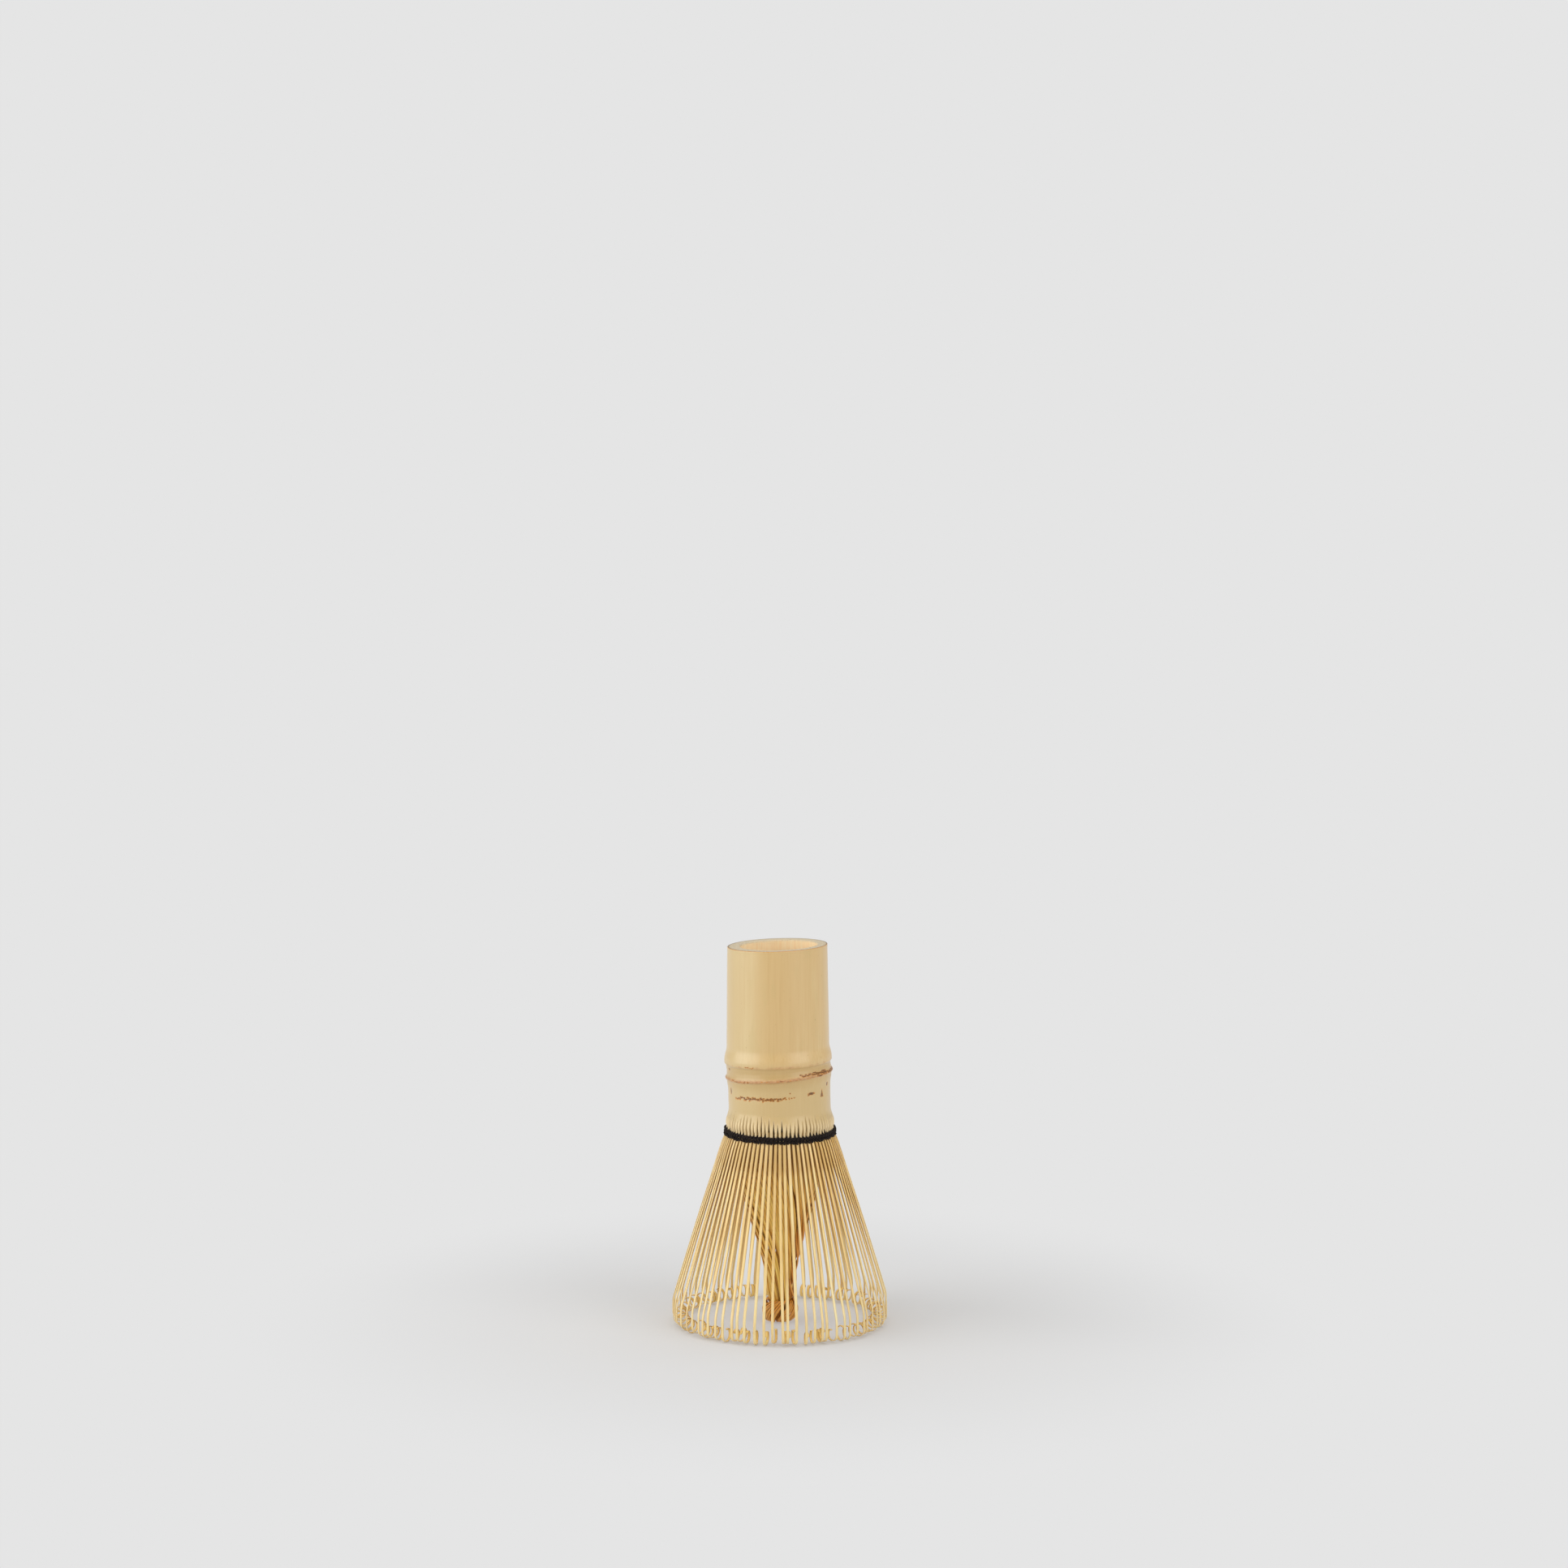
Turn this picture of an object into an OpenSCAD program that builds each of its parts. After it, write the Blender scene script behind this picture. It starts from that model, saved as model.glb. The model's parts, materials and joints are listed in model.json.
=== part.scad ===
// Bamboo tea whisk (chasen), standing on the ring of its curled tines, handle up.
// One bamboo culm forms the handle and is split below its node into an outer ring
// and an inner ring of tines, held apart by a woven thread.
// Millimetres, +Z up, origin on the floor at the middle of the tine ring.

/* [Handle] */
// Height of the whisk from the floor to the highest point of the rim
rim_z = 107; // [102:0.5:112]
// Outer radius of the culm at the rim
rim_r = 14; // [13.6:0.1:15]
// Outer radius of the culm just above the node
neck_r = 14.4; // [14:0.1:15.2]
// Inner radius of the hollow culm
bore_r = 10.5; // [9.5:0.1:11.2]
// Sideways offset of the culm above the node
culm_x = -0.6; // [-1:0.1:1]
// Angle of the saw cut at the rim
rim_tilt = 1.8; // [0:0.1:3]

/* [Node] */
// Height of the groove between the two ridges of the node
node_z = 74; // [72:0.5:76]
// Rise of the node above the plain culm
node_rise = 0.6; // [0.2:0.1:0.8]
// Depth of the groove
groove_depth = 0.35; // [0.1:0.05:0.6]
// Height of the sheath scar below the groove
scar_z = 70.6; // [70:0.1:71.5]
// Tilt of the sheath scar
scar_tilt = 4.7; // [0:0.1:6]
// Thickness of the natural wall that closes the culm at the node
septum_t = 2; // [1:0.1:3]

/* [Splitting] */
// Sections the culm is first split into
sections = 16; // [16:16]
// Outer tines in each section, with as many inner tines
section_tines = 5; // [3:1:5]
// Height of the pointed tops of the slits
slit_top_z = 59; // [58:0.5:61]
// Width of the slits between the outer tines
slit_w = 0.34; // [0.25:0.01:0.4]

/* [Outer tines] */
// Radius of the middle of an outer tine where it leaves the thread
tine_root_r = 15.65; // [15.4:0.05:15.9]
// Lean of an outer tine at the thread
flare_top = 18.6; // [16:0.1:20]
// Lean of an outer tine above its bend
flare_low = 16.2; // [14:0.1:18]
// Radius of the bend that turns a tine upright
bend_r = 9; // [6:0.5:14]
// Upright length between the bend and the curl
upright_len = 3.1; // [2:0.1:4]
// Radius at which the curl starts
curl_r = 2.15; // [1.8:0.05:2.4]
// Turn of the curled tip
curl_turn = 318; // [270:1:330]
// Width of an outer tine at the thread
tine_top_w = 0.84; // [0.7:0.01:0.86]
// Width of an outer tine at its tip
tine_tip_w = 0.66; // [0.5:0.01:0.8]
// Thickness of an outer tine at the thread
tine_top_t = 0.8; // [0.6:0.05:0.9]
// Thickness of an outer tine at its tip
tine_tip_t = 0.25; // [0.2:0.01:0.4]

/* [Inner tines] */
// Radius of the ring of inner tines below the thread
core_root_r = 12.3; // [12.2:0.05:12.4]
// Radius of the bundle at its neck
core_neck_r = 2.6; // [2.4:0.1:3.2]
// Height of the neck
core_neck_z = 8; // [7:0.5:10]
// Radius of the knob of curled tips
knob_r = 4.4; // [4:0.1:5]
// Height of the lowest inner tip
knob_low_z = 1; // [0.8:0.1:1.5]
// Angle by which the inner tines twist about the middle
core_twist = 90; // [0:5:110]

/* [Thread] */
// Height of the middle of the thread band
thread_z = 54.75; // [54.6:0.05:55]
// Radius of the thread
thread_r = 0.59; // [0.5:0.01:0.59]

/* [Hidden] */
$fn = 128;

tines = sections * section_tines;
pitch = 360 / tines;
section_names = [for (i = [1:sections]) str(i < 10 ? "0" : "", i)];

// The ring of roots at the lower end of the handle
root_z = 53.4;              // lower end of the outer roots
outer_root_r = 15;          // outer surface under the thread
outer_root_in_r = 13.5;
inner_root_out_r = 12.7;
inner_root_in_r = 11.8;
inner_root_z = 54;          // lower end of the inner roots
ring_gap_top_z = 57;        // top of the gap between the two rings of roots
root_taper_z = 60;          // where the roots blend into the plain culm
waist_r = 14.4;             // plain culm below the node
inner_slit_w = 0.3;
slit_point_len = 1.5;       // height of the pointed end of a slit
cut = 1;                    // overshoot of cutting bodies

// Moving tines
tine_top_z = root_z - 0.15;
core_top_z = inner_root_z - 1;
core_fill = 0.7;            // width of an inner tine as a share of its pitch
core_top_t = 0.5;
core_tip_t = 0.3;
bow_steps = 7;
bend_steps = 4;
curl_steps = 15;
curl_shrink = 0.85;         // end radius of the curl as a share of its start
core_steps = 6;
knob_steps = 6;

function mix(a, b, u) = a + (b - a) * u;
function ease(u) = let(v = min(max(u, 0), 1)) v * v * (3 - 2 * v);
function bump(z, middle, width) = exp(-pow((z - middle) / width, 2));
function span(low, high, step) = [for (z = [low:step:high]) z];
function reverse(list) = [for (i = [len(list) - 1:-1:0]) list[i]];

// ---- Culm ----------------------------------------------------------------

// Outer radius of the culm at height z
function culm_r(z) =
    mix(neck_r, rim_r, min(max((z - 80) / (rim_z - 80), 0), 1))
    + (waist_r - neck_r) * ease((80 - z) / 10)
    + node_rise * (ease((79.5 - z) / 3) - ease((70 - z) / 4))
    - groove_depth * bump(z, node_z - 0.2, 0.6)
    + (outer_root_r - waist_r) * ease((root_taper_z - z) / 3);

module turned(low, stations) {
    rotate_extrude()
        polygon(concat([[0, low]], [for (z = stations) [culm_r(z), z]],
                       [[0, stations[len(stations) - 1]]]));
}

module upper_culm() {
    translate([culm_x, 0, 0])
        difference() {
            turned(node_z, concat(span(node_z, 80, 0.5), [rim_z + cut]));
            translate([0, 0, node_z - cut])
                cylinder(r = bore_r, h = rim_z - node_z + 3 * cut);
            translate([rim_r, 0, rim_z])
                rotate([0, -rim_tilt, 0])
                    translate([-3 * rim_r, -2 * rim_r, 0])
                        cube([4 * rim_r, 4 * rim_r, 3 * cut]);
        }
}

module lower_culm() {
    difference() {
        union() {
            turned(root_z, concat([root_z], span(57.2, 69, 1.2), span(69.5, node_z, 0.5)));
            scar_ridge();
        }
        lower_cavity();
        ring_gap();
        for (i = [0:tines - 1]) {
            rotate([0, 0, (i + 0.5) * pitch])
                slit(slit_w, outer_root_in_r - 0.4, outer_root_r + cut, slit_top_z);
            rotate([0, 0, i * pitch])
                slit(inner_slit_w, inner_root_in_r - cut, inner_root_out_r + 0.4, slit_top_z - cut);
        }
    }
}

module scar_ridge() {
    ridge_h = 0.8;
    ridge_rise = 0.2;
    translate([0, 0, scar_z])
        rotate([0, -scar_tilt, 0])
            cylinder(r = culm_r(scar_z) + ridge_rise, h = ridge_h, center = true);
}

module lower_cavity() {
    narrow_z = 66;
    rotate_extrude()
        polygon([[0, root_z - cut], [inner_root_in_r, root_z - cut], [inner_root_in_r, root_taper_z],
                 [bore_r, narrow_z], [bore_r, node_z + cut], [0, node_z + cut]]);
}

// The gap that parts the outer roots from the inner ones, and the step up to the inner roots
module ring_gap() {
    rotate_extrude()
        polygon([[0, root_z - cut], [outer_root_in_r, root_z - cut], [outer_root_in_r, ring_gap_top_z],
                 [inner_root_out_r, ring_gap_top_z], [inner_root_out_r, inner_root_z],
                 [0, inner_root_z]]);
}

// A slit with a pointed top, cut outwards along X from radius r0 to r1
module slit(w, r0, r1, top_z) {
    translate([r0, 0, 0])
        rotate([90, 0, 90])
            linear_extrude(r1 - r0)
                polygon([[-w / 2, root_z - cut], [w / 2, root_z - cut],
                         [w / 2, top_z - slit_point_len], [0, top_z],
                         [-w / 2, top_z - slit_point_len]]);
}

module handle() {
    color("burlywood")
        union() {
            upper_culm();
            lower_culm();
        }
}

module node_septum() {
    color("wheat")
        translate([0, 0, node_z - septum_t])
            cylinder(r = bore_r, h = septum_t);
}

// ---- Outer tines ---------------------------------------------------------

// A path is a list of steps [length, lean], walked down from a start point in the r-z plane
function walk(steps, start) =
    [for (i = 0, p = start; i <= len(steps);
          p = i < len(steps) ? p + steps[i][0] * [sin(steps[i][1]), -cos(steps[i][1])] : p,
          i = i + 1) p];

function bow_leans() =
    [for (i = [0:bow_steps - 1]) mix(flare_top, flare_low, (i + 0.5) / bow_steps)];

function arc_len(radius, turn) = radius * turn * PI / 180;

tail_steps = concat(
    [for (i = [0:bend_steps - 1])
        [arc_len(bend_r, flare_low) / bend_steps, flare_low * (1 - (i + 0.5) / bend_steps)]],
    [[upright_len, 0]],
    [for (i = [0:curl_steps - 1])
        let(u = (i + 0.5) / curl_steps)
        [arc_len(curl_r * mix(1, curl_shrink, u), curl_turn) / curl_steps, -curl_turn * u]]
);

// The bow is as long as it takes for the curl to rest on the floor
tail_low = min([for (p = walk(tail_steps, [0, 0])) p[1]]) - tine_tip_t / 2;
bow_drop = [for (a = bow_leans()) cos(a) / bow_steps] * [for (i = [1:bow_steps]) 1];
bow_len = (tine_top_z + tail_low) / bow_drop;
tine_steps = concat([for (a = bow_leans()) [bow_len / bow_steps, a]], tail_steps);
tine_path = walk(tine_steps, [tine_root_r, tine_top_z]);

// Side of a tine, side = 1 outside and -1 inside; it thins evenly along the bow
function tine_side(side) =
    [for (i = [0:len(tine_path) - 1])
        let(before = tine_steps[max(i - 1, 0)][1],
            after = tine_steps[min(i, len(tine_steps) - 1)][1],
            lean = i == 0 ? 0 : (before + after) / 2,
            half_t = mix(tine_top_t, tine_tip_t, min(i / bow_steps, 1)) / 2)
        tine_path[i] + side * half_t * [cos(lean), sin(lean)]];

module outer_tine() {
    intersection() {
        rotate([90, 0, 0])
            linear_extrude(tine_top_w + cut, center = true)
                polygon(concat(tine_side(1), reverse(tine_side(-1))));
        rotate([90, 0, 90])
            linear_extrude(3 * tine_root_r)
                polygon([[-tine_tip_w / 2, -cut], [tine_tip_w / 2, -cut],
                         [tine_top_w / 2, root_z], [-tine_top_w / 2, root_z]]);
    }
}

// The tines of one section, spread about the section's middle
module section_of_tines(section, shift) {
    for (i = [0:section_tines - 1])
        rotate([0, 0, (section * section_tines + i - (section_tines - 1) / 2 + shift) * pitch])
            children();
}

module outer_tines(section) {
    color("khaki")
        section_of_tines(section, 0)
            outer_tine();
}

// ---- Inner tines ---------------------------------------------------------

// Middle of an inner tine as [radius, height, twist]: down to the neck, then round the knob
function core_point(v) =
    [mix(core_neck_r, core_root_r, pow(sin(90 * v), 1.5)),
     mix(core_neck_z, core_top_z, v),
     0.7 * core_twist * pow(1 - v, 2)];

function knob_point(s) =
    [core_neck_r + (knob_r - core_neck_r) * pow(sin(180 * s), 2),
     mix(core_neck_z, knob_low_z, s),
     core_twist * (0.7 + 0.3 * s)];

core_line = concat(
    [for (i = [0:core_steps - 1]) core_point(1 - i / core_steps)],
    [for (i = [0:knob_steps]) knob_point(i / knob_steps)]
);

// Four corners of an inner tine's section at point i
function core_ring(i) =
    let(last = len(core_line) - 1,
        p = core_line[i],
        run = core_line[min(i + 1, last)] - core_line[max(i - 1, 0)],
        across = [-run[1], run[0]] / norm([run[0], run[1]]),
        half_t = mix(core_top_t, core_tip_t, i / last) / 2,
        half_a = core_fill * pitch / 2)
    [for (c = [[1, 1], [1, -1], [-1, -1], [-1, 1]])
        let(r = p[0] + c[0] * half_t * across[0],
            a = p[2] + c[1] * half_a * (1 - half_t / p[0]))
        [r * cos(a), r * sin(a), p[1] + c[0] * half_t * across[1]]];

module inner_tine() {
    rings = len(core_line);
    corners = [for (i = [0:rings - 1]) each core_ring(i)];
    walls = [for (i = [0:rings - 2], k = [0:3])
        let(a = 4 * i + k, b = 4 * i + (k + 1) % 4)
        each [[a, b, b + 4], [a, b + 4, a + 4]]];
    top = [[0, 2, 1], [0, 3, 2]];
    end = 4 * (rings - 1);
    bottom = [[end, end + 1, end + 2], [end, end + 2, end + 3]];
    polyhedron(corners, concat(walls, top, bottom));
}

module inner_tines(section) {
    color("tan")
        section_of_tines(section, 0.5)
            inner_tine();
}

// ---- Thread --------------------------------------------------------------

// A turn of thread pressed flat against the outside of the roots
module outer_turn(z) {
    seat = 0.2;
    rotate_extrude()
        intersection() {
            translate([outer_root_r + seat, z])
                circle(r = thread_r, $fn = 32);
            translate([outer_root_r, z - thread_r])
                square(2 * thread_r);
        }
}

module thread_upper_turn() {
    color("black")
        outer_turn(thread_z + 0.6);
}

module thread_lower_turn() {
    color("black")
        outer_turn(thread_z - 0.6);
}

// The turn that passes between the outer and the inner roots
module thread_inner_turn() {
    turn_h = 1.2;
    color("black")
        translate([0, 0, thread_z - turn_h / 2])
            difference() {
                cylinder(r = outer_root_in_r, h = turn_h);
                translate([0, 0, -cut])
                    cylinder(r = inner_root_out_r, h = turn_h + 2 * cut);
            }
}

// The knot sits on the band at the back
module thread_knot() {
    knot_r = 0.9;
    color("black")
        difference() {
            translate([0, outer_root_r + 0.9, thread_z])
                sphere(r = knot_r, $fn = 32);
            cylinder(r = outer_root_r, h = rim_z);
            outer_turn(thread_z + 0.6);
            outer_turn(thread_z - 0.6);
        }
}

handle();
node_septum();
for (i = [0:sections - 1]) {
    outer_tines(i);
    inner_tines(i);
}
thread_upper_turn();
thread_lower_turn();
thread_inner_turn();
thread_knot();
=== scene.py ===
"""A bamboo tea whisk on a pale studio floor, built around its CAD frame.

Shapes are worked out in millimetres and turned into metres when a mesh is made.
Angles round the whisk start at the front (-Y) and grow towards +X.
"""

import json
import math
import random

import bpy
import numpy as np
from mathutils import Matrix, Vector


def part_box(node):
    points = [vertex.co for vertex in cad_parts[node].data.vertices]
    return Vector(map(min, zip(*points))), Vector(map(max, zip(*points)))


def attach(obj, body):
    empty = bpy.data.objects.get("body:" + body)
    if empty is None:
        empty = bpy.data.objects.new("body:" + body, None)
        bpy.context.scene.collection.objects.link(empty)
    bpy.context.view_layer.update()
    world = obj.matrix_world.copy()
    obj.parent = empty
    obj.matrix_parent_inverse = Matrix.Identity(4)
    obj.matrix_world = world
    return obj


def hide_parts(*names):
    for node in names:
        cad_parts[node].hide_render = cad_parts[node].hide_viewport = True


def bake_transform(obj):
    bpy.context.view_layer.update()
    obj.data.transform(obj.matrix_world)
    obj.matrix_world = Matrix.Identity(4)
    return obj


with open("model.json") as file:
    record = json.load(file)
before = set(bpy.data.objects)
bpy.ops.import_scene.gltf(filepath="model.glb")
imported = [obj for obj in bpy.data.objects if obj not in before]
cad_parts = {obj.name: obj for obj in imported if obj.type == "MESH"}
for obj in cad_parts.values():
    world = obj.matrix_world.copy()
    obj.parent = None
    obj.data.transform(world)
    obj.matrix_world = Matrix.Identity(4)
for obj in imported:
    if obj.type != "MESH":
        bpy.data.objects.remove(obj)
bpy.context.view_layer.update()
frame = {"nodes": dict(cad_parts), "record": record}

MM = 0.001
TAU = 2 * math.pi


def box_mm(node):
    """Lowest and highest corner of a CAD node, in millimetres."""
    low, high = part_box(node)
    return np.array(low) / MM, np.array(high) / MM


# ---- Sizes from the frame ----

outer_nodes = sorted(n for n in frame["nodes"] if n.startswith("outer_tines"))
inner_nodes = sorted(n for n in frame["nodes"] if n.startswith("inner_tines"))
SECTIONS = len(outer_nodes)
SECTION_TINES = 5
TINES = SECTIONS * SECTION_TINES
PITCH = TAU / TINES

bore = next(m for m in frame["record"]["mounts"] if m["name"] == "handle_bore")
BORE_R = bore["dims"]["r_mm"]
CULM_X = bore["pos_m"][0] / MM
RIM_Z = box_mm("handle")[1][2]
SEPTUM_LOW = box_mm("node_septum")[0][2]
SEPTUM_TOP = box_mm("node_septum")[1][2]
TINE_TOP = box_mm(outer_nodes[0])[1][2]
RING_R = box_mm(outer_nodes[0])[1][0]
CORE_TOP = box_mm(inner_nodes[0])[1][2]
UPPER_TURN_Z = sum(box_mm("thread_upper_turn"))[2] / 2
LOWER_TURN_Z = sum(box_mm("thread_lower_turn"))[2] / 2
THREAD_OUT_R = box_mm("thread_upper_turn")[1][0]
INNER_TURN_OUT_R = box_mm("thread_inner_turn")[1][0]


# ---- Small helpers ----

FIBRE_DEPTH = 2.7           # how much faster the grain changes through a strand than across it


def mix(a, b, u):
    return a + (b - a) * u


def ease(u):
    """0 below 0, 1 above 1, smooth in between."""
    v = np.clip(u, 0, 1)
    return v * v * (3 - 2 * v)


def bump(x, middle, width):
    return np.exp(-((x - middle) / width) ** 2)


def srgb(red, green, blue):
    """A display colour, 0 to 255, as a linear colour with alpha."""
    def linear(c):
        c = c / 255
        return c / 12.92 if c <= 0.04045 else ((c + 0.055) / 1.055) ** 2.4
    return (linear(red), linear(green), linear(blue), 1.0)


def unit(vectors):
    """Rows of vectors, each made one long."""
    return vectors / np.linalg.norm(vectors, axis=1)[:, None]


def nearest(angle):
    """The same angle between minus and plus half a turn."""
    return np.angle(np.exp(1j * angle))


def round_axis(r, angle, z, x=0.0):
    """Points at radius r, angle from the front and height z, round an axis at x."""
    return np.stack([x + r * np.sin(angle), -r * np.cos(angle), z], -1)


def waves(x, rng, periods, size):
    """A smooth random curve: sine waves of the given periods."""
    total = np.zeros_like(x)
    for period in periods:
        total = total + np.sin(TAU * (x / period + rng.random())) / len(periods)
    return size * total


def smooth_line(points, steps):
    """A Catmull-Rom curve through rows of control values, with steps between each two."""
    p = np.vstack([2 * points[0] - points[1], points, 2 * points[-1] - points[-2]])
    out = []
    for i in range(1, len(p) - 2):
        for k in range(steps):
            u = k / steps
            out.append(0.5 * (2 * p[i] + (p[i + 1] - p[i - 1]) * u
                              + (2 * p[i - 1] - 5 * p[i] + 4 * p[i + 1] - p[i + 2]) * u ** 2
                              + (3 * p[i] - p[i - 1] - 3 * p[i + 1] + p[i + 2]) * u ** 3))
    out.append(points[-1])
    return np.array(out)


def make_piece(name, vertices, faces, material, marks=None):
    """A smooth mesh object from millimetre vertices; marks are values kept on its points."""
    mesh = bpy.data.meshes.new(name)
    mesh.from_pydata((np.asarray(vertices) * MM).tolist(), [], faces)
    mesh.validate()
    mesh.shade_smooth()
    for mark, values in (marks or {}).items():
        values = np.asarray(values, np.float32)
        kind = "FLOAT" if values.ndim == 1 else "FLOAT_VECTOR"
        layer = mesh.attributes.new(mark, kind, "POINT")
        layer.data.foreach_set("value" if values.ndim == 1 else "vector", values.ravel())
    mesh.materials.append(material)
    piece = bpy.data.objects.new(name, mesh)
    bpy.context.scene.collection.objects.link(piece)
    return piece


def wrapped_grid(rows, columns, base=0):
    """Faces of a grid of points whose last column joins its first."""
    r, c = np.meshgrid(np.arange(rows - 1), np.arange(columns), indexing="ij")
    here = base + r * columns + c
    right = base + r * columns + (c + 1) % columns
    return np.stack([here, right, right + columns, here + columns], -1).reshape(-1, 4).tolist()


class Strands:
    """Bars, fibres or cords swept along lines and gathered into one mesh."""

    def __init__(self):
        self.vertices, self.faces = [], []
        self.fibre, self.tip, self.side = [], [], []
        self.count = 0

    def sweep(self, centres, normals, across, half_t, half_w, section, seed, tip=None):
        """One strand: section's (thickness, width) points scaled and carried along centres.

        Its points are marked with their place in the grain, the browning of the tip and the split sides.
        """
        rings, sides = len(centres), len(section)
        t = section[None, :, :1] * np.asarray(half_t)[:, None, None]
        w = section[None, :, 1:] * np.asarray(half_w)[:, None, None]
        points = centres[:, None, :] + normals[:, None, :] * t + across[:, None, :] * w
        gone = np.r_[0, np.cumsum(np.linalg.norm(np.diff(centres, axis=0), axis=1))]
        fibre = np.zeros((rings, sides, 3))
        fibre[..., 0] = w[..., 0] + FIBRE_DEPTH * t[..., 0]
        fibre[..., 1] = gone[:, None]
        fibre[..., 2] = seed
        base = self.count
        self.vertices.append(points.reshape(-1, 3))
        self.fibre.append(fibre.reshape(-1, 3))
        self.tip.append(np.repeat(np.zeros(rings) if tip is None else tip, sides))
        self.side.append(np.tile(np.abs(section[:, 1]) >= 1, rings))
        self.faces += wrapped_grid(rings, sides, base)
        self.faces.append([base + k for k in range(sides)][::-1])
        self.faces.append([base + (rings - 1) * sides + k for k in range(sides)])
        self.count += rings * sides

    def piece(self, name, material, slot):
        return make_piece(name, np.vstack(self.vertices), self.faces, material,
                          {"fibre": np.vstack(self.fibre), "tip": np.concatenate(self.tip),
                           "side": np.concatenate(self.side)})


# Sections of strands as (thickness, width) points: a flat bar with eased corners, and a round cord
EASED = 0.62
BAR = np.array([(1, EASED), (EASED, 1), (-EASED, 1), (-1, EASED),
                (-1, -EASED), (-EASED, -1), (EASED, -1), (1, -EASED)])
ROUND_SIDES = 8
ROUND = np.array([(math.cos(TAU * k / ROUND_SIDES), math.sin(TAU * k / ROUND_SIDES))
                  for k in range(ROUND_SIDES)])


# ---- Materials ----

class Nodes:
    """Short names for building a material's node tree."""

    def __init__(self, name):
        self.material = bpy.data.materials.new(name)
        self.material.use_nodes = True
        self.tree = self.material.node_tree
        self.shader = self.tree.nodes["Principled BSDF"]

    def add(self, kind, **settings):
        node = self.tree.nodes.new(kind)
        for key, value in settings.items():
            setattr(node, key, value)
        return node

    def plug(self, value, socket):
        if isinstance(value, bpy.types.NodeSocket):
            self.tree.links.new(value, socket)
        else:
            socket.default_value = value

    def math(self, operation, a, b=0.0, c=0.0):
        node = self.add("ShaderNodeMath", operation=operation)
        for value, socket in zip((a, b, c), node.inputs):
            self.plug(value, socket)
        return node.outputs[0]

    def noise(self, where, scale, detail=4, rough=0.55):
        """Noise from 0 to 1 at a point scaled by a vector."""
        stretch = self.add("ShaderNodeVectorMath", operation="MULTIPLY")
        self.plug(where, stretch.inputs[0])
        stretch.inputs[1].default_value = scale
        node = self.add("ShaderNodeTexNoise")
        self.plug(stretch.outputs[0], node.inputs["Vector"])
        node.inputs["Scale"].default_value = 1
        node.inputs["Detail"].default_value = detail
        node.inputs["Roughness"].default_value = rough
        return node.outputs[0]

    def ramp(self, factor, stops):
        """A colour ramp through (position, colour) stops."""
        node = self.add("ShaderNodeValToRGB")
        node.color_ramp.interpolation = "EASE"
        while len(node.color_ramp.elements) < len(stops):
            node.color_ramp.elements.new(0.5)
        for element, (position, colour) in zip(node.color_ramp.elements, stops):
            element.position = position
            element.color = colour
        self.plug(factor, node.inputs[0])
        return node.outputs[0]

    def blend(self, factor, a, b, how="MIX"):
        node = self.add("ShaderNodeMix", data_type="RGBA", blend_type=how)
        self.plug(factor, node.inputs[0])
        self.plug(a, node.inputs[6])
        self.plug(b, node.inputs[7])
        return node.outputs[2]

    def range(self, value, low, high, to_low=0.0, to_high=1.0):
        """value mapped smoothly from low..high to to_low..to_high."""
        node = self.add("ShaderNodeMapRange", interpolation_type="SMOOTHSTEP")
        for v, socket in zip((value, low, high, to_low, to_high), node.inputs):
            self.plug(v, socket)
        return node.outputs[0]

    def mark(self, name, kind="Fac"):
        """The value that make_piece kept on the points under this name."""
        return self.add("ShaderNodeAttribute", attribute_name=name).outputs[kind]

    def bump(self, height, distance, strength=1.0):
        node = self.add("ShaderNodeBump")
        node.inputs["Strength"].default_value = strength
        node.inputs["Distance"].default_value = distance * MM
        self.plug(height, node.inputs["Height"])
        self.plug(node.outputs[0], self.shader.inputs["Normal"])

    def place(self):
        """The point in millimetres, its x and its height."""
        where = self.add("ShaderNodeTexCoord").outputs["Object"]
        scaled = self.add("ShaderNodeVectorMath", operation="SCALE")
        self.plug(where, scaled.inputs[0])
        scaled.inputs["Scale"].default_value = 1 / MM
        split = self.add("ShaderNodeSeparateXYZ")
        self.plug(scaled.outputs[0], split.inputs[0])
        return scaled.outputs[0], split.outputs[0], split.outputs[2]

    def finish(self, colour, roughness, **sockets):
        self.plug(colour, self.shader.inputs["Base Color"])
        self.plug(roughness, self.shader.inputs["Roughness"])
        for name, value in sockets.items():
            self.shader.inputs[name.replace("_", " ")].default_value = value
        return self.material


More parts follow.
